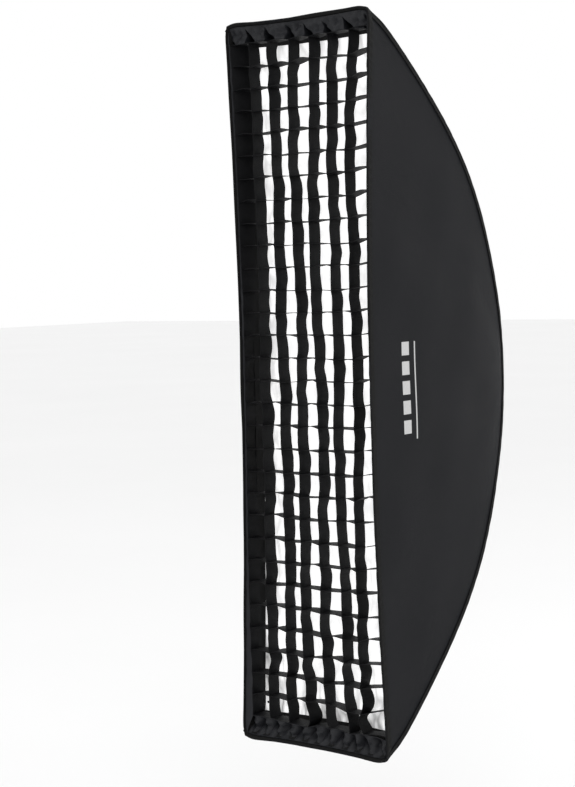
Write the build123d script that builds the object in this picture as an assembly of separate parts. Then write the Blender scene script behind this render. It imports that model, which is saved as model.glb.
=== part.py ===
from build123d import *
import math
import os

# Strip softbox on a three-lug bayonet speed ring, in millimetres.
# The origin is the centre of the bayonet's rear mating face. +Y points back to the lamp, +Z runs
# along the long side, and the light leaves towards -Y.

# Overall size, over the fabric
front_width = 300
front_height = 1200
front_depth = 490  # from the mating face to the front edge

# Bayonet insert, which stays on the lamp
aperture_radius = 49
insert_radius = 60
flange_radius = 70
flange_thickness = 3
lug_count = 3
lug_arc = 34  # degrees
lug_inner_radius = 53
lug_wall = 3
lug_reach = 8
lug_lip = 3
lug_lip_arc = 24  # degrees

# Speed ring, which turns on the insert
ring_radius = 75.5
ring_thickness = 19
ring_chamfer = 1.2
running_clearance = 0.06
face_gap = 0.3

# Retaining ring and its screws
retainer_radius = 66
retainer_thickness = 3
retainer_lip = 1.5  # its bore is this much wider than the aperture
screw_count = 6
screw_radius = 1.5
screw_length = 9
screw_head_radius = 2.8
screw_head_height = 1.8
screw_key_size = 2
screw_key_depth = 1.1
screw_clearance = 0.05  # around the shank

# Locking screw
lock_depth = 10  # from the mating face to the screw's axis
stud_radius = 3
knob_radius = 8
knob_length = 14
stud_hold = 9.8  # length of the stud inside the knob
stud_end_gap = 0.6  # between the stud and the insert
grip_start = 1  # the knob's flutes begin this far along it
knob_stand_off = 4.5  # from the ring's rim to the knob
knob_grip_count = 12
knob_grip_radius = 1.1
knob_rounding = 1

# Bent rods. The corner seam runs up the ring's side and then out to the front corner. The bends are
# shares of the way out to the corner and of the way forward.
seam_half_width = 79
seam_straight = 36
seam_back = 8  # from the mating face to the seam behind the ring
seam_bends = ((0.167, 0.060), (0.441, 0.226), (0.645, 0.4295), (0.849, 0.732))
arc_share = 0.45  # of the shorter run next to a bend
side_arc_share = 0.42
rod_radius = 2
rod_inset_x = 10
rod_inset_y = 8
rod_inset_z = 6
rod_socket_z = 10
rod_socket_depth = 16  # from the mating face to the rod's root
ferrule_radius = 3
ferrule_length = 28
socket_clearance = 0.05
boss_radius = 6
boss_length = 38
boss_root = 3  # solid metal behind the socket
tip_depth = 62  # behind the front edge
tip_cap_radius = 4
tip_cap_length = 22
pocket_clearance = 0.3
pocket_wall = 1.8
pocket_length = 26

# Fabric layers
cloth_thickness = 1
lining_thickness = 0.5
tape_thickness = 1
tape_width = 20
tape_gap = 0.3  # between hook tape and loop tape
grid_tape_front = 6  # behind the front edge
diffuser_tape_front = 30
binding_radius = 1.5
binding_gap = 0.2
binding_slope = 0.7  # it stands off backwards and endwards by this share of its side offset
hem_depth = 4
hem_side_wall = 2.2
hem_end_wall = 4.5
panel_start = 25  # the end panels begin this far from the centre line
collar_clearance = 0.5
collar_thickness = 1.2
collar_front = 20  # from the mating face
collar_rear = 4
ring_hole_clearance = 2
cutter_clearance = 1

# Diffuser
diffuser_thickness = 1

# Grid
column_count = 7
row_count = 30
column_pitch = 40.5
row_pitch = 37.5
strip_thickness = 0.8
strip_depth = 28
strip_front = 6  # behind the front edge
slot_clearance = 0.1
skirt_thickness = 2

# Worked out from the sizes above
front_y = -front_depth
ring_rear = -flange_thickness - face_gap
ring_front = ring_rear - ring_thickness
retainer_rear = ring_front - face_gap
insert_front = retainer_rear
rod_spread = front_width / 2 - seam_half_width
seam_rise = front_height / 2 - seam_straight
lining_inset = cloth_thickness
tape_inset = lining_inset + lining_thickness
hook_inset = tape_inset + tape_thickness + tape_gap
diffuser_front = diffuser_tape_front + tape_width
grid_half_width = column_count * column_pitch / 2
grid_half_height = row_count * row_pitch / 2
past_everything = 3 * front_height  # the size of a cutter that reaches past the whole object

os.makedirs("parts", exist_ok=True)


def save(name, shape):
    """Write one node."""
    shape.label = name
    export_step(shape, os.path.join("parts", name + ".step"))


def group(shapes):
    """Several like pieces in one node."""
    return Compound(children=list(shapes))


def y_cylinder(radius, y_low, y_high):
    """A cylinder along Y."""
    centre = Plane((0, y_low, 0), x_dir=(1, 0, 0), z_dir=(0, 1, 0))
    return extrude(centre * Circle(radius), amount=y_high - y_low)


def y_tube(inner, outer, y_low, y_high):
    """A ring about the Y axis."""
    return y_cylinder(outer, y_low, y_high) - y_cylinder(inner, y_low - 1, y_high + 1)


def y_sector(inner, outer, y_low, y_high, middle, spread):
    """A piece of a ring about the Y axis. Angles are in degrees, measured from +X towards +Z."""
    wedge_reach = 2 * outer
    angles = [math.radians(middle + share * spread) for share in (-0.5, 0.5)]
    corners = [(wedge_reach * math.cos(a), wedge_reach * math.sin(a)) for a in angles]
    face = Plane((0, y_high, 0), x_dir=(1, 0, 0), z_dir=(0, -1, 0)) * make_face(
        Polyline((0, 0), corners[0], corners[1], close=True)
    )
    return y_tube(inner, outer, y_low, y_high) & extrude(face, amount=y_high - y_low)


def cylinder_along(start, direction, radius, length):
    """A cylinder from a point along a direction."""
    return extrude(Plane(origin=start, z_dir=direction) * Circle(radius), amount=length)


def slab(front, back):
    """Everything between two depths behind the front edge."""
    middle = front_y + (front + back) / 2
    return Pos(0, middle, 0) * Box(past_everything, back - front, past_everything)


def rounded_path(points, share=arc_share):
    """Straight runs joined by tangent arcs that take a share of the shorter run."""
    vectors = [Vector(*point) for point in points]
    radii = []
    for before, corner, after in zip(vectors, vectors[1:], vectors[2:]):
        turn = math.radians((corner - before).get_angle(after - corner))
        shorter = min((corner - before).length, (after - corner).length)
        radii.append(share * shorter / math.tan(turn / 2))
    return FilletPolyline(*points, radius=radii)


def seam_points():
    """(x, y, z) of the top right corner seam, from the ring out to the front corner."""
    points = [(seam_half_width, -seam_back, seam_straight)]
    for out, forward in seam_bends:
        x = seam_half_width + out * rod_spread
        y = -seam_back - forward * (front_depth - seam_back)
        points.append((x, y, seam_straight + out * seam_rise))
    points.append((front_width / 2, front_y, front_height / 2))
    return points


def carried_on(before, last):
    """A point past the last one, in line with the one before it."""
    direction = (Vector(*last) - Vector(*before)).normalized()
    return tuple(Vector(*last) + direction * front_width / 4)


def mirrored(points):
    """The same points on the other side of the centre line, in the other order."""
    return [(-point[0], *point[1:]) for point in reversed(points)]


def side_region(inset):
    """All that lies between the two side surfaces, each moved inwards."""
    points = [(x, y, 0) for x, y, z in seam_points()]
    start, end = carried_on(points[1], points[0]), carried_on(points[-2], points[-1])
    right = [point[:2] for point in (start, *points[1:-1], end)]
    left = mirrored(right)
    edges = rounded_path(right, side_arc_share) + Line(right[-1], left[0])
    edges += rounded_path(left, side_arc_share) + Line(left[-1], right[0])
    face = make_face(edges)
    if inset:
        face = offset(face, amount=-inset, kind=Kind.INTERSECTION)
    return extrude(face, amount=front_height, both=True)


def end_region(inset):
    """All that lies inside the D-shaped side view, moved inwards."""
    points = [(z, y, 0) for x, y, z in seam_points()]
    upper = [point[:2] for point in (*points[:-1], carried_on(points[-2], points[-1]))]
    curve = rounded_path(mirrored(upper) + upper)
    face = make_face(curve + Line(upper[-1], mirrored(upper)[0]))
    if inset:
        face = offset(face, amount=-inset, kind=Kind.INTERSECTION)
    turned = Plane((0, 0, 0), x_dir=(0, 0, 1), z_dir=(-1, 0, 0)) * face
    return extrude(turned, amount=front_width, both=True)


def half_space(axis, sign, start=0):
    """Everything past a plane across X or Z, on one side of the centre."""
    middle = sign * (start + past_everything / 2)
    place = Pos(middle, 0, 0) if axis == "x" else Pos(0, 0, middle)
    return place * Box(past_everything, past_everything, past_everything)


def core(inset, front, back):
    """All that lies inside the softbox, moved inwards, between two depths behind the front edge."""
    return side_region(inset) & end_region(inset) & slab(front, back)


def side_layer(inset, thickness, front, back):
    """One layer of both sides, between two depths behind the front edge."""
    return core(inset, front, back) - side_region(inset + thickness)


def end_layer(inset, thickness, front, back):
    """One layer of both ends, which fits between the side layers."""
    wall = core(inset, front, back) & side_region(inset + thickness)
    wall -= end_region(inset + thickness)
    ends = [wall & half_space("z", sign, panel_start) for sign in (1, -1)]
    return ends[0] + ends[1]


def save_halves(names, axis, shape):
    """Write the two halves of a shape as two nodes."""
    for name, sign in zip(names, (1, -1)):
        save(name, shape & half_space(axis, sign))


def in_corners(shape):
    """A piece of the top right corner, and its three mirror images."""
    top = [shape, mirror(shape, about=Plane.YZ)]
    return top + [mirror(piece, about=Plane.XY) for piece in top]


corner_names = ("top_right", "top_left", "bottom_right", "bottom_left")


def rod_points():
    """(x, y, z) of the top right rod, from its root in the ring to its tip."""
    inset = Vector(-rod_inset_x, -rod_inset_y, -rod_inset_z)
    bends = [Vector(*point) + inset for point in seam_points()[1:]]
    run = bends[-1] - bends[-2]
    tip_y = front_y + tip_depth
    tip = bends[-2] + run * ((tip_y - bends[-2].Y) / run.Y)
    root = Vector(seam_half_width - rod_inset_x, -rod_socket_depth, rod_socket_z)
    return [tuple(point) for point in [root, *bends[:-1], tip]]


def rod_ends():
    """The rod's root, the direction it leaves in, its tip and the direction back from the tip."""
    points = [Vector(*point) for point in rod_points()]
    out = (points[1] - points[0]).normalized()
    back = (points[-2] - points[-1]).normalized()
    return points[0], out, points[-1], back


def swept(points, radius):
    """A round bar along a rounded path."""
    path = rounded_path(points)
    return sweep(Plane(origin=path @ 0, z_dir=path % 0) * Circle(radius), path=path)


def make_insert():
    """Bayonet insert with its flange and three lugs."""
    body = y_tube(aperture_radius, insert_radius, insert_front, 0)
    body += y_tube(aperture_radius, flange_radius, -flange_thickness, 0)
    outer = lug_inner_radius + lug_wall
    for index in range(lug_count):
        middle = 90 + index * 360 / lug_count
        body += y_sector(lug_inner_radius, outer, 0, lug_reach, middle, lug_arc)
        lip_start = lug_reach - lug_lip
        body += y_sector(outer, outer + lug_lip, lip_start, lug_reach, middle, lug_lip_arc)
    for screw in make_screws(screw_clearance, 0):
        body -= screw
    return body


def make_retainer():
    """Flat ring that keeps the speed ring on the insert."""
    inner = aperture_radius + retainer_lip
    ring = y_tube(inner, retainer_radius, retainer_rear - retainer_thickness, retainer_rear)
    for screw in make_screws(screw_clearance, 0):
        ring -= screw
    return ring


def make_screws(extra, key_size):
    """Pan-head screws on a circle in the insert's wall."""
    circle = (aperture_radius + insert_radius) / 2
    seat = retainer_rear - retainer_thickness
    screws = []
    for index in range(screw_count):
        screw = y_cylinder(screw_radius + extra, seat, seat + screw_length)
        screw += y_cylinder(screw_head_radius, seat - screw_head_height, seat)
        if key_size:
            plane = Plane((0, seat - screw_head_height, 0), x_dir=(1, 0, 0), z_dir=(0, 1, 0))
            key = RegularPolygon(key_size / 2, 6, major_radius=False)
            screw -= extrude(plane * key, amount=screw_key_depth)
        angle = 2 * math.pi * (index + 0.5) / screw_count
        screws.append(Pos(circle * math.cos(angle), 0, circle * math.sin(angle)) * screw)
    return screws


def make_speed_ring():
    """Speed ring with four rod sockets and the hole of the locking screw."""
    ring = y_tube(insert_radius + running_clearance, ring_radius, ring_front, ring_rear)
    circles = ring.edges().filter_by(GeomType.CIRCLE)
    rim = [edge for edge in circles if edge.radius > (insert_radius + ring_radius) / 2]
    ring = chamfer(rim, ring_chamfer)
    root, out, _, _ = rod_ends()
    for boss in in_corners(cylinder_along(root - out * boss_root, out, boss_radius, boss_length)):
        ring += boss
    ring -= y_cylinder(insert_radius + running_clearance, ring_front - 1, ring_rear + 1)
    hole_radius = ferrule_radius + socket_clearance
    for hole in in_corners(cylinder_along(root, out, hole_radius, 2 * boss_length)):
        ring -= hole
    thread_radius = stud_radius + running_clearance
    return ring - cylinder_along((0, -lock_depth, 0), Vector(0, 0, -1), thread_radius, 2 * ring_radius)


def make_lock_screw():
    """Threaded stud and fluted knob."""
    down = Vector(0, 0, -1)
    stud_start = insert_radius + stud_end_gap
    knob_start = ring_radius + knob_stand_off
    stud_end = knob_start + stud_hold
    stud = cylinder_along((0, -lock_depth, -stud_start), down, stud_radius, stud_end - stud_start)
    knob = cylinder_along((0, -lock_depth, -knob_start), down, knob_radius, knob_length)
    knob = fillet(knob.edges().filter_by(GeomType.CIRCLE), knob_rounding)
    for index in range(knob_grip_count):
        angle = 2 * math.pi * index / knob_grip_count
        x = knob_radius * math.cos(angle)
        y = knob_radius * math.sin(angle) - lock_depth
        start = (x, y, -knob_start - grip_start)
        knob -= cylinder_along(start, down, knob_grip_radius, knob_length)
    return stud, knob - stud


def make_rod():
    """Bent rod with its ferrule, its tip cap and the pocket that holds the tip."""
    root, out, tip, back = rod_ends()
    rod = swept(rod_points(), rod_radius)
    ferrule = cylinder_along(root, out, ferrule_radius, ferrule_length) - rod
    cap_end = tip - back * tip_cap_radius
    cap = cylinder_along(cap_end, back, tip_cap_radius, tip_cap_length) - rod
    hollow_radius = tip_cap_radius + pocket_clearance
    pocket_end = cap_end - back * pocket_clearance
    hollow = cylinder_along(pocket_end, back, hollow_radius, 2 * pocket_length)
    outer_end = pocket_end - back * pocket_wall
    outside = cylinder_along(outer_end, back, hollow_radius + pocket_wall, pocket_length)
    return rod, ferrule, cap, outside - hollow


def make_binding():
    """Corded binding sewn over the right-hand seam, from the top corner to the bottom corner."""
    away = binding_radius + binding_gap
    out = Vector(away, away * binding_slope, away * binding_slope)
    upper = [tuple(Vector(*point) + out) for point in seam_points()]
    upper[-1] = (upper[-1][0], front_y + hem_depth + binding_gap, upper[-1][2])
    lower = [(x, y, -z) for x, y, z in reversed(upper)]
    return swept(lower + upper, binding_radius)


def make_collar():
    """Cloth collar that grips the ring's rim, with holes for the sockets and the screw."""
    inner = ring_radius + collar_clearance
    collar = y_tube(inner, inner + collar_thickness, -collar_front, -collar_rear)
    root, out, _, _ = rod_ends()
    cutter_radius = boss_radius + cutter_clearance
    for cutter in in_corners(cylinder_along(root, out, cutter_radius, 2 * boss_length)):
        collar -= cutter
    down = Vector(0, 0, -1)
    screw_cutter = cylinder_along((0, -lock_depth, 0), down, stud_radius + cutter_clearance, front_width)
    return collar - screw_cutter


def make_hem():
    """Folded binding along the four front edges: two upright lengths, with two between them."""
    middle_y = front_y + hem_depth / 2
    side_x = (front_width - hem_side_wall) / 2
    end_z = (front_height - hem_end_wall) / 2
    upright = Box(hem_side_wall, hem_depth, front_height)
    level = Box(front_width - 2 * hem_side_wall, hem_depth, hem_end_wall)
    sides = [Pos(sign * side_x, middle_y, 0) * upright for sign in (1, -1)]
    return sides + [Pos(0, middle_y, sign * end_z) * level for sign in (1, -1)]


def combed_strip(half_length, notch_places, from_front):
    """Face of a strip along X, with a notch halfway through it at each crossing."""
    low, high = front_y + strip_front, front_y + strip_front + strip_depth
    middle = (low + high) / 2
    edge, far = (low, high) if from_front else (high, low)
    half_notch = strip_thickness / 2 + slot_clearance
    points = [(-half_length, far), (-half_length, edge)]
    for place in notch_places:
        points += [(place - half_notch, edge), (place - half_notch, middle)]
        points += [(place + half_notch, middle), (place + half_notch, edge)]
    points += [(half_length, edge), (half_length, far)]
    return make_face(Polyline(*points, close=True))


def make_long_strips():
    """Upright strips of the grid."""
    rows = [(index - row_count / 2) * row_pitch for index in range(1, row_count)]
    half_strip = strip_thickness / 2
    inner_face = combed_strip(grid_half_height - half_strip - slot_clearance, rows, True)
    outer_face = combed_strip(grid_half_height + half_strip, [], True)
    strips = []
    for index in range(column_count + 1):
        x = (index - column_count / 2) * column_pitch
        face = outer_face if index in (0, column_count) else inner_face
        upright = Plane((x, 0, 0), x_dir=(0, 0, 1), z_dir=(-1, 0, 0)) * face
        strips.append(extrude(upright, amount=half_strip, both=True))
    return strips


def make_cross_strips():
    """Level strips of the grid."""
    columns = [(index - column_count / 2) * column_pitch for index in range(1, column_count)]
    half_strip = strip_thickness / 2
    half_length = grid_half_width - half_strip - slot_clearance
    strips = []
    for index in range(row_count + 1):
        z = (index - row_count / 2) * row_pitch
        places = [] if index in (0, row_count) else columns
        face = Pos(0, 0, z) * combed_strip(half_length, places, False)
        strips.append(extrude(face, amount=half_strip, both=True))
    return strips


def make_skirt():
    """Flat cloth border between the grid's strips and its hook tape."""
    inset = hook_inset + tape_thickness
    skirt = core(inset, strip_front - skirt_thickness, strip_front)
    hole_x = 2 * grid_half_width + strip_thickness
    hole_z = 2 * grid_half_height + strip_thickness
    return skirt - Pos(0, front_y, 0) * Box(hole_x, front_depth, hole_z)


def make_diffuser():
    """Stretched cloth, flush with the outside of its hook tape."""
    return core(hook_inset, diffuser_front, diffuser_front + diffuser_thickness)


def write_ring_and_rods():
    save("bayonet_insert", make_insert())
    save("retaining_ring", make_retainer())
    save("retaining_screws", group(make_screws(0, screw_key_size)))
    save("speed_ring", make_speed_ring())
    stud, knob = make_lock_screw()
    save("lock_stud", stud)
    save("lock_knob", knob)
    rod, ferrule, cap, pocket = make_rod()
    for name, piece in zip(corner_names, in_corners(rod)):
        save("rod_" + name, piece)
    save("rod_ferrules", group(in_corners(ferrule)))
    save("rod_tip_caps", group(in_corners(cap)))
    save("corner_pockets", group(in_corners(pocket)))


def write_shell():
    ring_room = y_cylinder(ring_radius + ring_hole_clearance, -2 * ring_thickness, 1)
    side_panels = side_layer(0, cloth_thickness, hem_depth, front_depth)
    save_halves(("panel_right", "panel_left"), "x", side_panels)
    end_panels = end_layer(0, cloth_thickness, hem_depth, front_depth) - ring_room
    save_halves(("panel_top", "panel_bottom"), "z", end_panels)
    side_linings = side_layer(lining_inset, lining_thickness, hem_depth, front_depth) - ring_room
    save_halves(("lining_right", "lining_left"), "x", side_linings)
    end_linings = end_layer(lining_inset, lining_thickness, hem_depth, front_depth) - ring_room
    save_halves(("lining_top", "lining_bottom"), "z", end_linings)
    binding = make_binding()
    save("seam_binding_right", binding)
    save("seam_binding_left", mirror(binding, about=Plane.YZ))
    save("ring_collar", make_collar())
    save("front_hem", group(make_hem()))


def write_tapes():
    for name, front in (("grid", grid_tape_front), ("diffuser", diffuser_tape_front)):
        back = front + tape_width
        for kind, inset in (("loop_tape", tape_inset), ("hook_tape", hook_inset)):
            sides = side_layer(inset, tape_thickness, front, back)
            ends = end_layer(inset, tape_thickness, front, back)
            save(name + "_" + kind, group([*sides.solids(), *ends.solids()]))


def write_front():
    save("diffuser_cloth", make_diffuser())
    save("grid_long_strips", group(make_long_strips()))
    save("grid_cross_strips", group(make_cross_strips()))
    save("grid_skirt", make_skirt())


write_ring_and_rods()
write_shell()
write_tapes()
write_front()
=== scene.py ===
import math

import bpy
import numpy as np
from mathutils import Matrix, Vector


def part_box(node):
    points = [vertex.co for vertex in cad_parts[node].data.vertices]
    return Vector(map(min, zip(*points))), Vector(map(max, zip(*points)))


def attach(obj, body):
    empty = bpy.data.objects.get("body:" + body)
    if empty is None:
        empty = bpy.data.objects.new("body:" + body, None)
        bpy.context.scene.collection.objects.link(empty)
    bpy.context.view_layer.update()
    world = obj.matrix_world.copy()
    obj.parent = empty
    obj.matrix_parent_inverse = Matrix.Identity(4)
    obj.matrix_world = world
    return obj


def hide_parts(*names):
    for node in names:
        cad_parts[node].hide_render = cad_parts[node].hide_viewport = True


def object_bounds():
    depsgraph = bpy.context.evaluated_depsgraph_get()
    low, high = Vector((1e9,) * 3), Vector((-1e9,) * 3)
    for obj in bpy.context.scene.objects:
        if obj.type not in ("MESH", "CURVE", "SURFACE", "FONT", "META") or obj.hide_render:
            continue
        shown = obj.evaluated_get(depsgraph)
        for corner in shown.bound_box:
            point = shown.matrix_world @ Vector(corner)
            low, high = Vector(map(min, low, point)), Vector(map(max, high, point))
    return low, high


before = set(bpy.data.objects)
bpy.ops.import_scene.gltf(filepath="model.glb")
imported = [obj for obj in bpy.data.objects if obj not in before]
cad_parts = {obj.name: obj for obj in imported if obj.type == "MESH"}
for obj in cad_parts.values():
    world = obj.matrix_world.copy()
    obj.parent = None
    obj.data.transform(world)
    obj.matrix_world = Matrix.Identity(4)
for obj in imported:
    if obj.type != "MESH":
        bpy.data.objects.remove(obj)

cad_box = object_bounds()

# --- Camera and studio -------------------------------------------------------------------------
# The softbox hangs on its lamp mount, seen from the front right at eye level. Around it is a pale
# studio: one wide floor, a white sky and three soft lamps.
hem_low, hem_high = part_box("front_hem")
front_y = hem_low[1]
half_width, half_height = hem_high[0], hem_high[2]
eye = (1.769, front_y - 2.227, 0.178)
eye_turn = math.radians(38.89)
eye_roll = math.radians(-1.49)
sensor = 36  # mm
lens = 80.00508  # mm
horizon_shift = -0.1524  # share of the frame's height
floor_drop = 0.35  # from the softbox's lower edge to the floor
floor_size = 60
bpy.ops.object.camera_add(location=eye)
camera = bpy.context.object
camera.name = "camera"
camera.data.sensor_width = sensor
camera.data.lens = lens
camera.data.shift_y = horizon_shift
camera.rotation_mode = "XYZ"
camera.rotation_euler = (math.pi / 2, 0, eye_turn)
camera.rotation_euler.rotate_axis("Z", eye_roll)
bpy.context.scene.camera = camera

floor_z = cad_box[0][2] - floor_drop
bpy.ops.mesh.primitive_plane_add(size=floor_size, location=(0, 0, floor_z))
floor = bpy.context.object
floor.name = "studio_floor"

world = bpy.data.worlds.new("studio_sky")
world.use_nodes = True
sky = world.node_tree.nodes["Background"]
sky.inputs["Color"].default_value = (1, 1, 1, 1)
sky.inputs["Strength"].default_value = 1.0
bpy.context.scene.world = world
bpy.context.scene.view_settings.view_transform = "Standard"


def lamp(name, place, target, size, power):
    """A square soft lamp that looks at a point."""
    bpy.ops.object.light_add(type="AREA", location=place)
    light = bpy.context.object
    light.name = name
    light.data.size = size
    light.data.energy = power
    away = np.array(place) - np.array(target)
    across = math.hypot(away[0], away[1])
    light.rotation_euler = (math.atan2(across, away[2]), 0, math.atan2(away[0], -away[1]))


lamp("key_lamp", (2.6, -3.2, 2.6), (0, -0.3, 0), 1.6, 26)
lamp("fill_lamp", (-3.2, -3.0, 1.2), (0, -0.3, 0), 2.0, 12)
lamp("back_lamp", (1.5, 3.2, 2.4), (0, -0.2, 0), 1.6, 24)


class Signal:
    """An output of a finish's node. Arithmetic on it adds Math nodes."""

    def __init__(self, finish, socket):
        self.finish = finish
        self.socket = socket

    def maths(self, operation, *others):
        values = dict(enumerate((self, *others)))
        return self.finish.node("Math", {"operation": operation}, values)

    def __add__(self, other):
        return self.maths("ADD", other)

    def __radd__(self, other):
        return self.maths("ADD", other)

    def __mul__(self, other):
        return self.maths("MULTIPLY", other)

    def __rmul__(self, other):
        return self.maths("MULTIPLY", other)

    def __sub__(self, other):
        return self.maths("SUBTRACT", other)

    def __rsub__(self, other):
        return self * -1 + other

    def __pow__(self, other):
        return self.maths("POWER", other)

    def sine(self):
        return self.maths("SINE")

    def size(self):
        return self.maths("ABSOLUTE")

    def above(self, limit):
        return self.maths("GREATER_THAN", limit)


class Finish:
    """A material. Its fixed values are set on the shader, and its nodes feed what varies."""

    def __init__(self, name, fixed):
        self.material = bpy.data.materials.new(name)
        self.material.use_nodes = True
        self.tree = self.material.node_tree
        self.shader = self.tree.nodes["Principled BSDF"]
        for socket, value in fixed.items():
            self.shader.inputs[socket].default_value = value

    def node(self, kind, settings, sockets, output=0):
        made = self.tree.nodes.new("ShaderNode" + kind)
        for name, value in settings.items():
            setattr(made, name, value)
        for name, value in sockets.items():
            if isinstance(value, Signal):
                self.tree.links.new(value.socket, made.inputs[name])
            else:
                made.inputs[name].default_value = value
        return Signal(self, made.outputs[output])

    def feed(self, socket, signal):
        self.tree.links.new(signal.socket, self.shader.inputs[socket])

    def bump(self, height, distance):
        normal = self.node("Bump", {}, {"Height": height, "Distance": distance, "Strength": 1.0})
        self.feed("Normal", normal)

    def on_cloth(self):
        """Metres across and along the cloth."""
        place = self.node("UVMap", {}, {})
        split = self.node("SeparateXYZ", {}, {"Vector": place})
        return split, Signal(self, split.socket.node.outputs[1]), place

    def in_space(self):
        return self.node("TexCoord", {}, {}, "Object")

    def noise(self, place, scale, detail=3.0, roughness=0.55):
        sockets = {"Vector": place, "Scale": scale, "Detail": detail, "Roughness": roughness}
        return self.node("TexNoise", {}, sockets, "Fac")

    def blend(self, factor, first, second):
        return self.node("Mix", {"data_type": "RGBA"}, {0: factor, 6: first, 7: second}, 2)


def grey(value, tint=(1.0, 1.0, 1.0)):
    return (value * tint[0], value * tint[1], value * tint[2], 1)


def floor_finish():
    """Smooth white studio floor."""
    finish = Finish("studio_floor", {"Base Color": grey(0.9), "Roughness": 0.9})
    cloudy = finish.noise(finish.in_space(), 0.6)
    finish.feed("Base Color", finish.blend(cloudy, grey(0.88), grey(0.92)))
    return finish.material


floor.data.materials.append(floor_finish())

# --- Side panels -------------------------------------------------------------------------------
# The two large panels are black nylon with a rubbery coating. Each is cut to a D, sewn to the end
# panels along its curved edge, and held taut by the rods, so its front edge draws in half way up.
seam_half_width = 0.079
seam_straight = 0.036
seam_back = -0.008
seam_bends = ((0.167, 0.060), (0.441, 0.226), (0.645, 0.4295), (0.849, 0.732))
draw_in = 0.016  # how far the long front edges draw in
end_sag = 0.0045
corner_cut = 0.005  # how far the front corners are rounded off
corner_reach = 0.014
cloth_thickness = 0.001
slack_length, slack_height = 0.16, 0.0012  # of the long soft waves in a tight panel
smooth_angle = math.radians(50)
nylon_tint = (0.93, 0.97, 1.16)

seam_points, bend_points = 400, 24


def seam_line(steps):
    """The corner seam from the middle of the ring to the front corner, with rounded bends."""
    points = [(seam_half_width, seam_back, 0), (seam_half_width, seam_back, seam_straight)]
    for out, forward in seam_bends:
        x = seam_half_width + out * (half_width - seam_half_width)
        y = seam_back + forward * (front_y - seam_back)
        points.append((x, y, seam_straight + out * (half_height - seam_straight)))
    points = np.array(points + [(half_width, front_y, half_height)])
    middles = (points[:-1] + points[1:]) / 2
    line = [points[:1]]
    t = np.linspace(0, 1, steps)[:, None]
    for start, bend, end in zip(middles, points[1:-1], middles[1:]):
        line.append((1 - t) ** 2 * start + 2 * t * (1 - t) * bend + t**2 * end)
    line.append(points[-1:])
    line = np.concatenate(line)
    along = np.concatenate([[0], np.cumsum(np.linalg.norm(np.diff(line, axis=0), axis=1))])
    line, along = line[np.r_[True, np.diff(along) > 1e-9]], np.unique(along)
    even = np.linspace(0, along[-1], seam_points)
    return np.stack([np.interp(even, along, line[:, k]) for k in range(3)], axis=1)


seam = seam_line(bend_points)[::-1]  # from the front corner back to the ring
seam_length = np.linalg.norm(np.diff(seam, axis=0), axis=1).sum()


def seam_at(share):
    """x, y and z of the seam, from 0 at the front corner to 1 behind the ring."""
    places = np.linspace(0, 1, len(seam))
    return [np.interp(share, places, seam[:, k]) for k in range(3)]


def seam_behind(depth):
    """x and z of the seam at a depth behind the front edge."""
    depths = seam[:, 1] - front_y
    return np.interp(depth, depths, seam[:, 0]), np.interp(depth, depths, seam[:, 2])


def cut_at(depth):
    """How far the seam is rounded off at a depth behind the front edge."""
    return corner_cut * np.exp(-((depth / 0.03) ** 2))


def side_x(depth, z):
    """The right-hand panel's surface, which is drawn in between its two seams."""
    seam_x, seam_z = seam_behind(depth)
    drawn = draw_in * np.maximum(seam_z**2 - z**2, 0) / half_height**2
    gap = np.maximum(seam_z - np.abs(z), 0)
    return seam_x - drawn - cut_at(depth) * np.exp(-((gap / corner_reach) ** 2))


def end_z(depth, x):
    """The top panel's surface, which sags a little between its two seams."""
    seam_x, seam_z = seam_behind(depth)
    across = np.minimum(np.abs(x) / seam_x, 1)
    gap = seam_x - np.abs(x)
    sag = end_sag * (1 - across**2) * (seam_x / half_width) ** 2
    return seam_z - sag - cut_at(depth) * np.exp(-((gap / corner_reach) ** 2))


def waves(across, along, length, seed):
    """Smooth uneven waves about this long, between about -1 and 1."""
    chance = np.random.default_rng(seed)
    total = 0
    for _ in range(7):
        turn = chance.uniform(0, 2 * math.pi)
        pitch = 2 * math.pi / (length * chance.uniform(0.7, 1.5))
        step = across * math.cos(turn) + along * math.sin(turn)
        total = total + np.sin(pitch * step + chance.uniform(0, 2 * math.pi))
    return total / 4


def slack(across, along, to_edge, seed):
    """The gentle unevenness of a tight panel, which fades out at its seams."""
    return waves(across, along, slack_length, seed) * slack_height * (1 - to_edge**6)


def cloth(name, cells, place, size, thickness):
    """A sheet of cloth: a flat grid whose points are placed by a rule, then given a thickness."""
    bpy.ops.object.select_all(action="DESELECT")
    bpy.ops.mesh.primitive_grid_add(x_subdivisions=cells[0], y_subdivisions=cells[1], size=2)
    sheet = bpy.context.object
    sheet.name = name
    mesh = sheet.data
    flat = np.empty(3 * len(mesh.vertices))
    mesh.vertices.foreach_get("co", flat)
    across, along = flat.reshape(-1, 3)[:, 0], flat.reshape(-1, 3)[:, 1]
    placed = np.stack(np.broadcast_arrays(*place(across, along)), axis=1)
    mesh.vertices.foreach_set("co", placed.ravel())
    grain = np.empty(2 * len(mesh.loops))
    mesh.uv_layers.active.data.foreach_get("uv", grain)
    mesh.uv_layers.active.data.foreach_set("uv", (grain.reshape(-1, 2) * size).ravel())
    mesh.update()
    finished(sheet, thickness)
    return sheet


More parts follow.
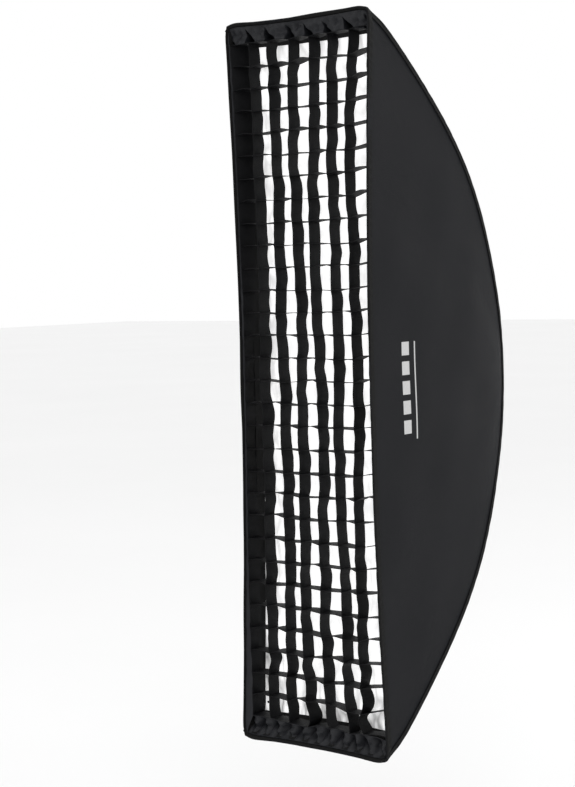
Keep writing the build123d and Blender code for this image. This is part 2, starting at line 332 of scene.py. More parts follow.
def finished(sheet, thickness):
    """Even out the normals, give the sheet its thickness and smooth it."""
    bpy.ops.object.mode_set(mode="EDIT")
    bpy.ops.mesh.select_all(action="SELECT")
    bpy.ops.mesh.remove_doubles(threshold=1e-5)
    bpy.ops.mesh.normals_make_consistent(inside=False)
    bpy.ops.object.mode_set(mode="OBJECT")
    if thickness:
        solid = sheet.modifiers.new("thickness", "SOLIDIFY")
        solid.thickness = thickness
        solid.offset = 0
        bpy.ops.object.modifier_apply(modifier=solid.name)
    bpy.ops.object.shade_smooth_by_angle(angle=smooth_angle)


def dress(piece, material, body):
    """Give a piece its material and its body."""
    piece.data.materials.clear()
    piece.data.materials.append(material)
    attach(piece, body)


weave_pitch = 0.0011
mark_depth, mark_top = 0.108, 0.062  # the mark's place on the right-hand panel
mark_square, mark_step = 0.022, 0.032
mark_squares = 5
rule_depth, rule_width = 0.136, 0.0036


def mark(finish):
    """1 inside a plain printed mark: a column of squares beside a thin rule."""
    place = finish.in_space()
    depth = finish.node("SeparateXYZ", {}, {"Vector": place}, 1) - front_y
    down = mark_top - finish.node("SeparateXYZ", {}, {"Vector": place}, 2)
    length = mark_step * mark_squares
    on_mark = down.above(0.0) * (1 - down.above(length))
    in_step = (down * (1 / mark_step)).maths("FRACT") * mark_step
    squares = (1 - in_step.above(mark_square)) * (1 - (depth - mark_depth).size().above(mark_square / 2))
    rule = 1 - (depth - rule_depth).size().above(rule_width / 2)
    return on_mark * (squares + rule)


def nylon_finish(name, shade, roughness=0.52, creases=0.0, shine=0.07, printed=False):
    """Coated woven nylon: a fine plain weave, faint cloudiness and a soft shine."""
    fixed = {"Roughness": roughness, "Specular IOR Level": shine}
    finish = Finish(name, fixed)
    across, along, place = finish.on_cloth()
    turn = 2 * math.pi / weave_pitch
    warp = (across * turn).sine()
    weft = (along * turn).sine()
    weave = warp * weft
    cloudy = finish.noise(place, 9.0)
    specks = finish.noise(place, 900.0, 1.0)
    tone = cloudy * 0.5 + specks * 0.25 + weave * 0.06 + 0.1
    light, dark = grey(shade * 1.3, nylon_tint), grey(shade * 0.72, nylon_tint)
    colour = finish.blend(tone, dark, light)
    if printed:
        worn = finish.noise(place, 300.0, 2.0) * 0.2 + 0.8
        colour = finish.blend(mark(finish) * worn, colour, grey(0.62))
    finish.feed("Base Color", colour)
    finish.feed("Roughness", cloudy * 0.14 + weave * 0.03 + (roughness - 0.07))
    height = weave * 0.00006 + finish.noise(place, 60.0, 4.0) * (0.0004 + creases)
    finish.bump(height, 1.0)
    return finish.material


panel_shade = 0.0095
panel_nylon = nylon_finish("panel_nylon", panel_shade)
printed_nylon = nylon_finish("printed_panel_nylon", panel_shade, printed=True)
panel_rows, panel_columns = 110, 150
side_end = 0.975  # the seam's share where the panel closes behind the ring
for name, side in (("right", 1), ("left", -1)):

    def place_side(up, back):
        share = (back + 1) / 2 * side_end
        x, y, z = seam_at(share)
        depth = y - front_y
        z = up * (z - cut_at(depth))
        return side * (side_x(depth, z) - cloth_thickness / 2 + slack(z, y, up, 3 + side)), y, z

    flat = (0.482, 1.21)
    panel = cloth("side_panel_" + name, (panel_columns, panel_rows), place_side, flat[::-1], cloth_thickness)
    dress(panel, printed_nylon if side > 0 else panel_nylon, "softbox")
    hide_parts("panel_" + name)

# --- End panels --------------------------------------------------------------------------------
# The same nylon covers the top and the bottom. Each panel starts at the round opening for the
# speed ring, widens between the two rods that hold it, and ends at the front edge.
opening_radius = 0.078
panel_start = 0.025
end_columns, end_rows = 70, 120
opening_samples = 2000
inset_y, inset_z = 0.3, 0.9  # how an inset is shared between y and z


def ring_share(across):
    """Where an end panel meets the ring's opening, at each place across it."""
    shares = np.linspace(0, 1, opening_samples)
    x, y, z = seam_at(shares)
    reach = np.hypot(x[None, :] * across[:, None], z[None, :])
    clear = (reach > opening_radius) & (z[None, :] > panel_start)
    return shares[clear.shape[1] - 1 - np.argmax(clear[:, ::-1], axis=1)]


def end_sheet(across, share, inset, seed):
    """A point on the top panel, or on a layer that lies this far under it."""
    x, y, z = seam_at(share)
    depth = y - front_y
    x = across * (x - cut_at(depth) - inset)
    return x, y - inset_y * inset, end_z(depth, x) - inset_z * inset - slack(x, share, across, seed)


for name, side in (("top", 1), ("bottom", -1)):

    def place_end(across, forward):
        columns, which = np.unique(np.round(across, 6), return_inverse=True)
        start = ring_share(columns)[which]
        share = start * (1 - (forward + 1) / 2)
        x, y, z = end_sheet(across, share, cloth_thickness / 2, 11 + side)
        return x, y, side * z

    flat = (0.302, 0.80)
    panel = cloth("end_panel_" + name, (end_columns, end_rows), place_end, flat, cloth_thickness)
    dress(panel, panel_nylon, "softbox")
    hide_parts("panel_" + name)

# --- Lining ------------------------------------------------------------------------------------
# Every panel is lined with silver cloth: thin nylon with a bright metal film, pressed into a fine
# pattern that spreads the light. It starts behind the diffuser and is sewn in with the panels.
lining_start = 0.052  # behind the front edge
lining_thickness = 0.0005
lining_inset = 0.0019
# Shares of the seam by which the linings stop short of the collar and of the panels' ends
lining_setback, side_lining_setback = 0.008, 0.01


def silver_finish():
    """Metallised cloth with a fine pressed grain and soft creases."""
    finish = Finish("silver_lining", {"Metallic": 0.75, "Roughness": 0.38})
    place = finish.on_cloth()[2]
    grain = finish.node("TexVoronoi", {}, {"Vector": place, "Scale": 420.0})
    creases = finish.noise(place, 26.0, 5.0)
    finish.feed("Base Color", finish.blend(creases, grey(0.62), grey(0.82)))
    finish.feed("Roughness", creases * 0.2 + 0.28)
    finish.bump(grain * 0.0004 + creases * 0.003, 1.0)
    return finish.material


silver = silver_finish()
lining_share = float(np.interp(lining_start, seam[:, 1] - front_y, np.linspace(0, 1, len(seam))))
for name, side in (("right", 1), ("left", -1)):

    def place_side_lining(up, back):
        share = lining_share + (back + 1) / 2 * (side_end - side_lining_setback - lining_share)
        x, y, z = seam_at(share)
        z = up * (z - lining_inset)
        return side * (side_x(y - front_y, z) - lining_inset + slack(z, y, up, 3 + side)), y, z

    flat = (0.43, 1.11)
    cells = (panel_columns, panel_rows)
    lining = cloth("side_lining_" + name, cells, place_side_lining, flat[::-1], lining_thickness)
    dress(lining, silver, "softbox")
    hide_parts("lining_" + name)
for name, side in (("top", 1), ("bottom", -1)):

    def place_end_lining(across, forward):
        columns, which = np.unique(np.round(across, 6), return_inverse=True)
        start = ring_share(columns)[which] - lining_setback
        share = start + (lining_share - start) * (forward + 1) / 2
        x, y, z = end_sheet(across, share, lining_inset, 11 + side)
        return x, y, side * z

    flat = (0.29, 0.74)
    lining = cloth("end_lining_" + name, (end_columns, end_rows), place_end_lining, flat, lining_thickness)
    dress(lining, silver, "softbox")
    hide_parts("lining_" + name)

# --- Seam bindings -----------------------------------------------------------------------------
# A woven black tape is folded over each long seam and stitched down on both panels. It runs in one
# length from the top front corner, past the ring, to the bottom front corner.
binding_width = 0.007  # on each panel
binding_thickness = 0.0009
proud = 0.0011  # its middle stands this far off the panels
stitch_pitch, stitch_margin = 0.0045, 0.0016
rib_pitch, rib_width = 0.0016, 0.0024
stitch_sharpness = 2500  # one over the stitch line's half width
share_step = 0.002  # either way along the seam, to find its direction
ripple_length, ripple_height = 0.03, 0.00025


def webbing_finish(name, shade, width, stitched=True):
    """Ribbed woven tape with a line of stitches near each edge."""
    finish = Finish(name, {"Roughness": 0.72, "Specular IOR Level": 0.14})
    across, along, place = finish.on_cloth()
    ribs = (along * (2 * math.pi / rib_pitch)).sine() * (across * (2 * math.pi / rib_width)).sine()
    worn = finish.noise(place, 40.0, 4.0)
    tone = worn * 0.6 + ribs * 0.12 + 0.1
    colour = finish.blend(tone, grey(shade * 0.6), grey(shade * 1.5))
    height = ribs * 0.00012 + worn * 0.0003
    if stitched:
        from_edge = (across - width / 2).size() - (width / 2 - stitch_margin)
        on_line = 1 - (from_edge.size() * stitch_sharpness).maths("MINIMUM", 1.0)
        dash = (along * (2 * math.pi / stitch_pitch)).sine() + 0.5
        dash = dash.maths("MAXIMUM", 0.0).maths("MINIMUM", 1.0)
        stitches = on_line * dash
        height = height + stitches * 0.0004
        colour = finish.blend(stitches * 0.5, colour, grey(shade * 2.4))
    finish.feed("Base Color", colour)
    finish.feed("Roughness", worn * 0.2 + 0.6)
    finish.bump(height, 1.0)
    return finish.material


binding_tape = webbing_finish("binding_tape", 0.0022, 2 * binding_width)
binding_stop = 0.004  # it ends this far behind the front edge
for name, side in (("right", 1), ("left", -1)):

    def place_binding(across, along):
        share = np.abs(along)
        share = 1 - (1 - binding_stop / seam_length) * share
        x, y, z = seam_at(share)
        x, z = x - cut_at(y - front_y), z - cut_at(y - front_y)
        ahead = seam_at(np.minimum(share + share_step, 1))
        behind = seam_at(np.maximum(share - share_step, 0))
        run_y, run_z = ahead[1] - behind[1], ahead[2] - behind[2]
        length = np.hypot(run_y, run_z)
        out_y, out_z = -run_z / length, run_y / length
        on_side = np.maximum(-across, 0) * binding_width
        on_end = np.maximum(across, 0) * binding_width
        round_off = np.exp(-((across * 4) ** 2))
        side_y, side_z = y - out_y * on_side, z - out_z * on_side
        lift_side = np.where(across <= 0, 1, round_off)
        lift_end = np.where(across >= 0, 1, round_off)
        side_x_there = np.where(across < 0, side_x(side_y - front_y, side_z), x)
        x = side_x_there - on_end + proud * lift_side
        y = side_y + out_y * proud * lift_end
        z = side_z + out_z * proud * lift_end
        ripple = waves(along * seam_length, across, ripple_length, 31) * ripple_height
        return side * (x + ripple), y, np.sign(along + 1e-9) * z

    flat = (2 * binding_width, 2 * seam_length)
    tape = cloth("seam_tape_" + name, (8, 420), place_binding, flat, binding_thickness)
    dress(tape, binding_tape, "softbox")
    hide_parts("seam_binding_" + name)

# --- Front hem ---------------------------------------------------------------------------------
# The front edge is bound with a doubled strip of the panels' nylon. It is folded over the raw
# edges of all four panels and stitched through, and it puckers slightly along the stitches.
hem_outside = 0.011  # it covers this much of the panels outside and inside
hem_inside = 0.013
hem_spread = 0.0013  # half its thickness where it wraps the edge
hem_start = 0.0016  # depth at which its wrap begins
pucker_pitch, pucker_height = 0.011, 0.0003
# Shares of its half width: where the wrap ends, and where the puckers begin
wrap_share, pucker_share = 0.12, 0.2
hem_thickness = 0.0008


def around(share, depth, inset):
    """x and z on a closed line around the front opening, this far inside the panels."""
    seam_x, seam_z = seam_behind(depth)
    corner_x, corner_z = seam_x - cut_at(depth), seam_z - cut_at(depth)
    lengths = np.cumsum([0, half_height, half_width, half_height, half_width])
    place = (share % 1) * lengths[-1]
    leg = np.clip(np.searchsorted(lengths, place, side="right") - 1, 0, 3)
    run = (place - lengths[leg]) / (lengths[leg + 1] - lengths[leg]) * 2 - 1
    upright = leg % 2 == 0
    sign = np.where(leg < 2, 1, -1)
    lay_z, lay_x = run * (corner_z - inset), -run * (corner_x - inset)
    x = np.where(upright, side_x(depth, lay_z) - inset, lay_x)
    z = np.where(upright, lay_z, end_z(depth, lay_x) - inset)
    return sign * x, sign * z


def band(name, cells, profile, flat, thickness):
    """A closed band of cloth around the opening. The profile gives its inset and its depth."""

    def place_band(across, along):
        share = (along + 1) / 2
        inset, depth = profile(across, share)
        x, z = around(share, depth, inset)
        return x, front_y + depth, z

    return cloth(name, cells, place_band, flat, thickness)


perimeter = 2.96  # around the opening


def hem_profile(across, share):
    """Up the outside, around the raw edge and down the inside."""
    outside, inside = np.maximum(-across, 0), np.maximum(across, 0)
    wrap = np.clip(across / wrap_share, -1, 1)
    bend = np.sqrt(np.maximum(1 - wrap**2, 0))
    pucker = np.sin(share * perimeter * 2 * math.pi / pucker_pitch + 3 * np.sin(share * 190)) * pucker_height
    inset = cloth_thickness / 2 + wrap * hem_spread + pucker * (np.abs(across) > pucker_share)
    depth = hem_start - bend * hem_spread + outside * hem_outside + inside * hem_inside
    return inset, depth


hem_nylon = webbing_finish("hem_nylon", 0.0055, hem_outside + hem_inside)
hem = band("front_hem_tape", (28, 900), hem_profile, (0.025, perimeter), hem_thickness)
dress(hem, hem_nylon, "softbox")
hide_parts("front_hem")

# --- Hook and loop tapes -----------------------------------------------------------------------
# Two rows of woven tape are sewn around the inside of the mouth, with a pile of soft loops. The
# diffuser and the grid each carry a row of stiff hooks that presses onto one of them.
tape_width, tape_length = 0.02, 2.9
tape_thickness = 0.001
loop_inset, hook_inset = 0.0022, 0.0037
tape_ripple = 0.0002


def hook_and_loop_finish(name, shade, pitch):
    """Dense pile on a woven tape."""
    finish = Finish(name, {"Roughness": 0.9, "Specular IOR Level": 0.2})
    place = finish.on_cloth()[2]
    pile = finish.node("TexVoronoi", {}, {"Vector": place, "Scale": 1 / pitch})
    matted = finish.noise(place, 70.0, 4.0)
    tone = pile * 0.5 + matted * 0.5
    finish.feed("Base Color", finish.blend(tone, grey(shade * 0.5), grey(shade * 1.6)))
    finish.bump(pile * 0.0006 + matted * 0.0005, 1.0)
    return finish.material


loop_pile = hook_and_loop_finish("loop_pile", 0.010, 0.0009)
hook_pile = hook_and_loop_finish("hook_pile", 0.007, 0.0016)
for owner, body, front in (("grid", "grid", 0.006), ("diffuser", "diffuser", 0.03)):
    for kind, inset, rides, pile in (
        ("loop", loop_inset, "softbox", loop_pile),
        ("hook", hook_inset, body, hook_pile),
    ):

        def tape_profile(across, share):
            return inset + tape_ripple * np.sin(share * 400), front + tape_width * (across + 1) / 2

        flat = (tape_width, tape_length)
        tape = band(owner + "_" + kind + "_band", (4, 500), tape_profile, flat, tape_thickness)
        dress(tape, pile, rides)
        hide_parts(owner + "_" + kind + "_tape")

# --- Diffuser ----------------------------------------------------------------------------------
# White translucent nylon is stretched across the mouth behind the grid. It glows evenly in use, with soft
# creases where its edge is pulled out to the hook tape.
# Here the glow is painted on as emission, since no lamp stands behind it, and its creases carry painted
# shade.
diffuser_depth = 0.0505
diffuser_inset = 0.0044
diffuser_thickness = 0.0006
diffuser_weave = 0.0009
middle_across, middle_along = 0.145, 0.58
edge_scale, end_scale = 7.0, 1.75  # about one over half its width and half its height
pull_length, pull_height = 0.05, 0.0012
billow_length, billow_height = 0.22, 0.0014


def painted_glow_finish():
    """White cloth with a painted glow, and painted shade that greys its creases."""
    # Painted glow: the cloth emits light of its own, in place of the lamp behind it.
    fixed = {"Roughness": 0.85, "Emission Strength": 0.82, "Specular IOR Level": 0.2}
    finish = Finish("painted_glow_cloth", fixed)
    across, along, place = finish.on_cloth()
    stretched = finish.node("Mapping", {}, {"Vector": place, "Scale": (14.0, 5.0, 1.0)})
    folds = finish.noise(stretched, 2.2, 2.0)
    creases = (1 - (folds - 0.5).size() * 11).maths("MAXIMUM", 0.0)
    weave = (across * (2 * math.pi / diffuser_weave)).sine() * (along * (2 * math.pi / diffuser_weave)).sine()
    near_edge = (across - middle_across).size() * edge_scale
    near_end = (along - middle_along).size() * end_scale
    # Painted shade in the creases: how much they are greyed, more towards the edges and ends. The colour and
    # the glow below both take it.
    crease_shade_strength = (near_edge ** 5.0 + near_end ** 14.0).maths("MINIMUM", 1.0) * 0.75 + 0.06
    dark = creases * crease_shade_strength
    finish.feed("Base Color", finish.blend(dark, grey(0.86), grey(0.3)))
    finish.feed("Emission Color", finish.blend(dark, grey(1.0), grey(0.08)))
    finish.bump(weave * 0.00004 + creases * 0.0012, 1.0)
    return finish.material


def place_diffuser(across, along):
    seam_x, _ = seam_behind(diffuser_depth)
    z = along * (end_z(diffuser_depth, across * seam_x) - diffuser_inset)
    x = across * (side_x(diffuser_depth, z) - diffuser_inset)
    pulled = (across**6 + along**24) * waves(x, z, pull_length, 41) * pull_height
    billow = (1 - across**2) * (1 - along**8) * waves(x, z, billow_length, 42) * billow_height
    return x, front_y + diffuser_depth + pulled + billow, z


flat = (0.284, 1.125)
diffuser = cloth("front_diffuser", (60, 220), place_diffuser, flat, diffuser_thickness)
dress(diffuser, painted_glow_finish(), "diffuser")
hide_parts("diffuser_cloth")

# --- Grid strips -------------------------------------------------------------------------------
# The grid is cut from doubled black nylon. Eight long strips and thirty-one cross strips slot
# through each other half way and are stitched at the crossings, so each cell wall bulges its own
# way and the lines wander.
columns, rows = 7, 30
grid_low, grid_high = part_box("grid_long_strips")
strip_thickness = 0.0008
half_grid = grid_high[2] - strip_thickness / 2
strip_front, strip_back = grid_low[1] - front_y, grid_high[1] - front_y
row_pitch = 2 * half_grid / rows
wall_room = 0.0045  # between the grid's outer strips and the side panels
wander_x, wander_z = 0.0020, 0.0016
meander = 0.0042  # the slow wander of a long strip
bulge_size = 0.0028
narrowing = 0.011
folded_in = 0.017  # the left-hand wall leans in towards the top
floor_bulge_size, floor_rise = 0.0026, 0.0016  # of the cross strips between crossings
first_loose, first_rows = 1.9, 2.6  # how much looser the grid is near its first rows
last_loose, last_rows = 0.6, 1.5  # and near its last rows
carried, added = 0.55, 0.75  # of the neighbour's stray, and of a fresh one
meander_length = 0.5
rim_x, rim_z, rim_bulge = 0.25, 0.8, 0.35  # what the rim leaves of each
fold_start, fold_rows, fold_curve = 17, 9, 0.8
narrow_rows, narrow_curve = 9, 1.5
bulge_curve = 1.3
crimp_length, crimp_height = 0.02, 0.0004
lean = 0.0016  # how far a wall's back edge strays from its front edge
chance = np.random.default_rng(7)
row_places = np.arange(rows + 1)
looser = 1 + first_loose * np.exp(-((row_places / first_rows) ** 2))
looser = looser + last_loose * np.exp(-(((rows - row_places) / last_rows) ** 2))


def strays(shape, size, smooth):
    """Chance offsets, partly alike from one crossing to the next along a strip."""
    raw = chance.uniform(-1, 1, shape)
    for _ in range(smooth):
        raw[:, 1:] = carried * raw[:, :-1] + added * raw[:, 1:]
    return raw * size


cross_x = strays((columns + 1, rows + 1), wander_x, 1) * looser
for index in range(1, columns):
    cross_x[index] += waves(row_places * row_pitch, index, meander_length, 60 + index) * meander
cross_x[[0, -1]] *= rim_x
cross_z = strays((columns + 1, rows + 1), wander_z, 0) * looser
cross_z[:, [0, -1]] *= rim_z
lean_x = strays((columns + 1, rows + 1), lean, 0)
lean_z = strays((columns + 1, rows + 1), lean, 0)
lean_x[0] = folded_in * np.clip((row_places - fold_start) / fold_rows, 0, 1) ** fold_curve
wall_bulge = strays((columns + 1, rows), bulge_size, 0) * looser[:-1]
wall_bulge[[0, -1]] *= rim_bulge
wall_peak = chance.uniform(0.6, 1.7, (columns + 1, rows))
floor_bulge = strays((columns, rows + 1), floor_bulge_size, 0) + floor_rise
between_peak = chance.uniform(0.7, 1.5, (columns, rows + 1))
sag_last = 0.006  # each cross strip rises this much to the right-hand wall


def between(table, index, place):
    """The value of one strip's row of a table, run straight between crossings."""
    return np.interp(place, np.arange(table.shape[1]), table[index])


def bulged(table, peaks, index, place):
    """A wall's bulge between two crossings, with its peak before or after the middle."""
    cell = np.clip(np.floor(place).astype(int), 0, table.shape[1] - 1)
    share = np.clip(place - cell, 0, 1)
    return table[index][cell] * np.sin(math.pi * share ** peaks[index][cell]) ** bulge_curve


def grid_x(column, row):
    """x at a place counted in columns and rows. The grid narrows at its lower left."""
    z = row * row_pitch - half_grid
    reach = side_x(strip_front, z) - wall_room
    left = reach - narrowing * np.clip((narrow_rows - row) / narrow_rows, 0, 1) ** narrow_curve
    return (reach + left) * column / columns - left


walls = nylon_finish("grid_nylon", 0.0036, roughness=0.6, creases=0.0006, shine=0.12)
steps = 10
for index in range(columns + 1):

    def place_long(back, up):
        row = (up + 1) / 2 * rows
        deep = (back + 1) / 2
        x = grid_x(index, row) + between(cross_x, index, row) + deep * between(lean_x, index, row)
        x = x + bulged(wall_bulge, wall_peak, index, row) * (0.75 + 0.5 * deep)
        z = row * row_pitch - half_grid + between(cross_z, index, row) + deep * between(lean_z, index, row)
        crimp = waves(x + index, z, crimp_length, 70 + index) * crimp_height
        return x + crimp, front_y + strip_front + deep * (strip_back - strip_front), z

    flat = (strip_back - strip_front, rows * row_pitch)
    strip = cloth("grid_long_strip_%d" % index, (6, rows * steps), place_long, flat, strip_thickness)
    dress(strip, walls, "grid")
    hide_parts("grid_long_strips")

for index in range(rows + 1):

    def place_cross(across, back):
        column = (across + 1) / 2 * columns
        deep = (back + 1) / 2
        x = grid_x(column, index)
        x = x + between(cross_x.T, index, column) + deep * between(lean_x.T, index, column)
        z = index * row_pitch - half_grid
        z = z + between(cross_z.T, index, column) + deep * between(lean_z.T, index, column)
        z = z + bulged(floor_bulge.T, between_peak.T, index, column) * (1 - 0.3 * deep)
        z = z + sag_last * np.maximum(column - columns + 1, 0)
        return x, front_y + strip_front + deep * (strip_back - strip_front), z

    flat = (2 * grid_high[0], strip_back - strip_front)
    strip = cloth("grid_cross_strip_%02d" % index, (columns * steps, 6), place_cross, flat, strip_thickness)
    dress(strip, walls, "grid")
    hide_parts("grid_cross_strips")

# --- Grid skirt --------------------------------------------------------------------------------
# A border of single nylon joins the strips to the hook tape. It is cut full, so it puckers into
# small pits beside each long strip at the top and into slanting folds at the bottom.
# Painted light: the skirt's nylon is made lighter in colour than the grid's nylon, for the light that falls
# on the mouth's edge.
skirt_nylon_painted_light = nylon_finish("skirt_nylon_painted_light", 0.013, roughness=0.5, creases=0.0010, shine=0.22)
skirt_front = 0.0035  # its outer edge turns over the hook tape just behind the hem
skirt_inset = 0.0042
turned_under = 0.006  # the side borders' edges fold back along the hook tape
pit_depth = 0.022
fold_depth = 0.017
pit_share = 0.5  # of the space between two long strips
skirt_thickness = 0.0006


def skirt_edge(column, side, share, x):
    """z of the skirt from the grid's end strip to the hook tape."""
    row = rows if side > 0 else 0
    inner = row * row_pitch - half_grid + between(cross_z.T, row, column)
    inner = inner + bulged(floor_bulge.T, between_peak.T, row, column)
    outer = side * (end_z(skirt_front, x) - skirt_inset)
    return inner + (outer - inner) * share


pit_sizes = chance.uniform(0.65, 1.25, columns + 2)
pit_slants = chance.uniform(-0.16, 0.16, columns + 2)


def pits(column, share):
    """Triangular pits, upright on the side of each long strip and slanting on the other."""
    which = np.floor(column + 0.2).astype(int)
    after = column - which + 0.2 + pit_slants[which] * share
    width = pit_share * pit_sizes[which] * np.maximum(1 - share * 1.1 / pit_sizes[which], 0)
    return np.clip(after / 0.05, 0, 1) * np.clip((width - after) / 0.12, 0, 1)


for name, side in (("top", 1), ("bottom", -1)):

    def place_skirt(across, out):
        share = (out + 1) / 2
        row = rows if side > 0 else 0
        column = (across + 1) / 2 * columns
        inner_x = grid_x(column, row) + between(cross_x.T, row, column)
        z_seam = half_height - corner_cut - skirt_inset
        outer_x = across * (side_x(skirt_front, z_seam) - skirt_inset)
        x = inner_x + (outer_x - inner_x) * share
        z = skirt_edge(column, side, share, x)
        amount = np.sin(math.pi * np.clip(share, 0, 1)) ** 0.7
        loose = waves(x, z, 0.014, 90 + side) * 0.0030 + waves(x, z, 0.05, 95) * 0.0020
        depth = skirt_front + (strip_front - skirt_front) * (1 - share) + 0.004 * amount
        depth = depth + loose * amount
        if side > 0:
            depth = depth + pit_depth * pits(column, share)
        else:
            slant = np.abs((column * 1.5 + share * 0.5) % 1 * 2 - 1)
            back_slant = np.abs((column * 1.5 - share * 0.6 + 0.3) % 1 * 2 - 1)
            depth = depth + (slant**2 * 0.5 + back_slant**3 * 0.5) * fold_depth * amount
        return x, front_y + depth, z

    flat = (0.29, 0.044)
    skirt = cloth("grid_skirt_" + name, (420, 36), place_skirt, flat, skirt_thickness)
    dress(skirt, skirt_nylon_painted_light, "grid")
    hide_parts("grid_skirt")

for name, side in (("right", 1), ("left", -1)):

    def place_side_skirt(out, up):
        share = (out + 1) / 2
        row = (up + 1) / 2 * rows
        index = columns if side > 0 else 0
        inner = grid_x(index, row) + between(cross_x, index, row)
        inner = side * (inner + bulged(wall_bulge, wall_peak, index, row) * 0.75)
        outwards, turned = np.minimum(share * 2, 1), np.maximum(share - 0.5, 0) * 2
        z_corner = half_height - corner_cut - skirt_inset
        z = up * (half_grid + (z_corner - half_grid) * outwards)
        outer = side_x(skirt_front, z) - skirt_inset + 0.0008
        depth = strip_front + (skirt_front - strip_front) * outwards
        depth = depth + waves(share * 0.02, z, 0.03, 99) * 0.0008 + turned_under * turned
        return side * (inner + (outer - inner) * outwards), front_y + depth, z

    flat = (0.012, 1.13)
    skirt = cloth("grid_skirt_" + name, (6, rows * steps), place_side_skirt, flat, skirt_thickness)
    dress(skirt, skirt_nylon_painted_light, "grid")
    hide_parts("grid_skirt")

# --- Ring collar -------------------------------------------------------------------------------
# A short sleeve of nylon joins the panels to the rim of the speed ring. Elastic in its hem gathers
# it against the metal. It is cut away over the four rod sockets and pierced for the locking screw.
collar_low, collar_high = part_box("ring_collar")
collar_radius = collar_high[0] - 0.0008
collar_front, collar_rear = collar_low[1], collar_high[1]
socket_angle = math.radians(22)
socket_room = math.radians(6.5)
socket_notch = 0.0085
gathers, gather_height = 64, 0.0005
screw_room = 0.0045  # the hole's radius
punch_length = 0.02
collar_thickness = 0.0009


def place_collar(around_ring, back):
    angle = around_ring * math.pi
    from_socket = np.abs(np.abs(np.abs(angle) - math.pi / 2) - (math.pi / 2 - socket_angle))
    notch = socket_notch * np.exp(-((from_socket / socket_room) ** 4))
    front = collar_front + notch
    y = front + (back + 1) / 2 * (collar_rear - front)
    ruffle = np.sin(angle * gathers + 2 * np.sin(angle * 7)) * gather_height * (1 - 0.7 * back)
    radius = collar_radius - 0.0004 + ruffle
    return radius * np.cos(angle), y, radius * np.sin(angle)


flat = (0.49, collar_rear - collar_front)
collar = cloth("elastic_collar", (512, 14), place_collar, flat, collar_thickness)
screw_low, screw_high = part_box("lock_stud")
screw_y = (screw_low[1] + screw_high[1]) / 2
hole = (0, screw_y, -collar_radius)
bpy.ops.mesh.primitive_cylinder_add(vertices=32, radius=screw_room, depth=punch_length, location=hole)
punch = bpy.context.object
pierced = collar.modifiers.new("pierced", "BOOLEAN")
pierced.operation = "DIFFERENCE"
pierced.object = punch
bpy.ops.object.select_all(action="DESELECT")
bpy.context.view_layer.objects.active = collar
collar.select_set(True)
bpy.ops.object.modifier_apply(modifier=pierced.name)
bpy.data.objects.remove(punch)
dress(collar, hem_nylon, "softbox")
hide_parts("ring_collar")

# --- Corner pockets ----------------------------------------------------------------------------
# Each rod's tip sits in a pocket of folded webbing, sewn into the corner of the lining behind the
# diffuser. The pocket is round at its mouth and is pinched flat where it is stitched shut.
rod_inset = np.array([-0.010, -0.008, -0.006])
tip_depth = 0.062
pocket_radius = 0.0055
pocket_length = 0.030
pocket_start = -0.010
pocket_thickness = 0.0012
last_out, last_forward = seam_bends[-1]
last_bend = np.array([
    seam_half_width + last_out * (half_width - seam_half_width),
    seam_back + last_forward * (front_y - seam_back),
    seam_straight + last_out * (half_height - seam_straight),
])
front_corner = np.array([half_width, front_y, half_height])
rod_run = front_corner - last_bend
to_tip = (front_y + tip_depth - last_bend[1] - rod_inset[1]) / rod_run[1]
rod_tip = last_bend + rod_inset + rod_run * to_tip
rod_back = -rod_run / np.linalg.norm(rod_run)
pocket_wide = np.cross(rod_back, [1, 0, 0])
pocket_wide /= np.linalg.norm(pocket_wide)
pocket_deep = np.cross(rod_back, pocket_wide)
pocket_webbing = webbing_finish("pocket_webbing", 0.006, 0.035)
corners = {"top_right": (1, 1), "top_left": (-1, 1), "bottom_right": (1, -1), "bottom_left": (-1, -1)}
for name, (side, end) in corners.items():

    def place_pocket(turn, along):
        angle, share = turn * math.pi, (along + 1) / 2
        pinch = np.clip(1 - share / 0.3, 0, 1) ** 2
        flare = 1 + 0.12 * np.clip((share - 0.85) / 0.15, 0, 1)
        wide = pocket_radius * (1 + 0.45 * pinch) * flare * np.cos(angle)
        deep = pocket_radius * (1 - 0.93 * pinch) * flare * np.sin(angle)
        reach = pocket_start + share * pocket_length
        place = rod_tip[:, None] + rod_back[:, None] * reach
        place = place + pocket_wide[:, None] * wide + pocket_deep[:, None] * deep
        return side * place[0], place[1], end * place[2]

    flat = (0.0346, pocket_length)
    pocket = cloth("rod_pocket_" + name, (48, 24), place_pocket, flat, pocket_thickness)
    dress(pocket, pocket_webbing, "softbox")
    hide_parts("corner_pockets")

# --- Ring, rods and screws ---------------------------------------------------------------------
# The speed ring is die-cast and painted satin black. The insert and its retaining ring are turned
# aluminium, the rods are bent spring steel, and the knob and the tip caps are moulded plastic.


def painted_finish():
    """Satin black paint with a fine orange peel, rubbed in places."""
    finish = Finish("satin_black_paint", {})
    place = finish.in_space()
    peel = finish.noise(place, 900.0, 2.0)
    rubbed = (finish.noise(place, 38.0, 6.0, 0.7) - 0.62).maths("MAXIMUM", 0.0) * 4
    finish.feed("Base Color", finish.blend(rubbed, grey(0.03), grey(0.12)))
    finish.feed("Roughness", peel * 0.12 + rubbed * 0.1 + 0.3)
    finish.bump(peel * 0.00012, 1.0)
    return finish.material


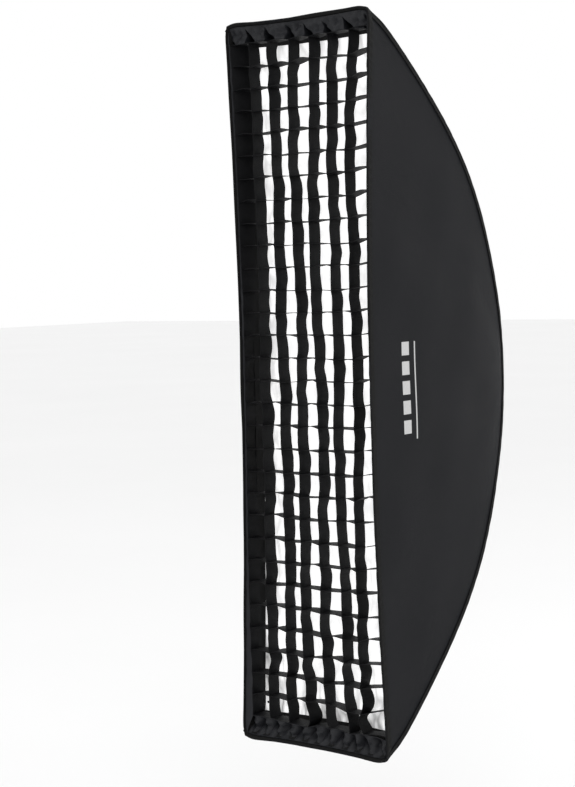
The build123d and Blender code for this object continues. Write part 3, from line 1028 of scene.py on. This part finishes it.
def turned_finish():
    """Aluminium with the fine rings that a lathe leaves, and faint handling marks."""
    finish = Finish("turned_aluminium", {"Metallic": 1.0})
    place = finish.in_space()
    x = finish.node("SeparateXYZ", {}, {"Vector": place}, 0)
    z = finish.node("SeparateXYZ", {}, {"Vector": place}, 2)
    radius = (x * x + z * z) ** 0.5
    rings = (radius * (2 * math.pi / 0.0006)).sine()
    smudges = finish.noise(place, 45.0, 4.0)
    finish.feed("Base Color", finish.blend(smudges, grey(0.52), grey(0.7)))
    finish.feed("Roughness", smudges * 0.18 + rings * 0.03 + 0.24)
    finish.bump(rings * 0.00002 + finish.noise(place, 400.0) * 0.00003, 1.0)
    return finish.material


def steel_finish(name, shade, roughness, pitch):
    """Plated or drawn steel, with turns or draw marks across it at a pitch."""
    finish = Finish(name, {"Metallic": 1.0})
    place = finish.in_space()
    z = finish.node("SeparateXYZ", {}, {"Vector": place}, 2)
    marks = (z * (2 * math.pi / pitch)).sine()
    clouds = finish.noise(place, 120.0, 4.0)
    finish.feed("Base Color", finish.blend(clouds, grey(shade * 0.75), grey(shade * 1.15)))
    finish.feed("Roughness", clouds * 0.15 + roughness)
    finish.bump(marks * 0.00005 + clouds * 0.00004, 1.0)
    return finish.material


def moulded_finish():
    """Black plastic with a fine spark-eroded grain."""
    finish = Finish("moulded_black", {"Specular IOR Level": 0.4})
    place = finish.in_space()
    grain = finish.noise(place, 1400.0, 2.0)
    wear = finish.noise(place, 60.0, 4.0)
    finish.feed("Base Color", finish.blend(wear, grey(0.012), grey(0.022)))
    finish.feed("Roughness", grain * 0.15 + wear * 0.1 + 0.38)
    finish.bump(grain * 0.00008, 1.0)
    return finish.material


finishes = {
    painted_finish(): ["speed_ring"],
    turned_finish(): ["bayonet_insert", "retaining_ring"],
    steel_finish("plated_screw", 0.5, 0.22, 0.0009): ["retaining_screws", "lock_stud", "rod_ferrules"],
    steel_finish("spring_steel", 0.34, 0.26, 0.004): ["rod_" + name for name in corners],
    moulded_finish(): ["lock_knob", "rod_tip_caps"],
}
for material, names in finishes.items():
    for name in names:
        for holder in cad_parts[name].material_slots:
            holder.material = material
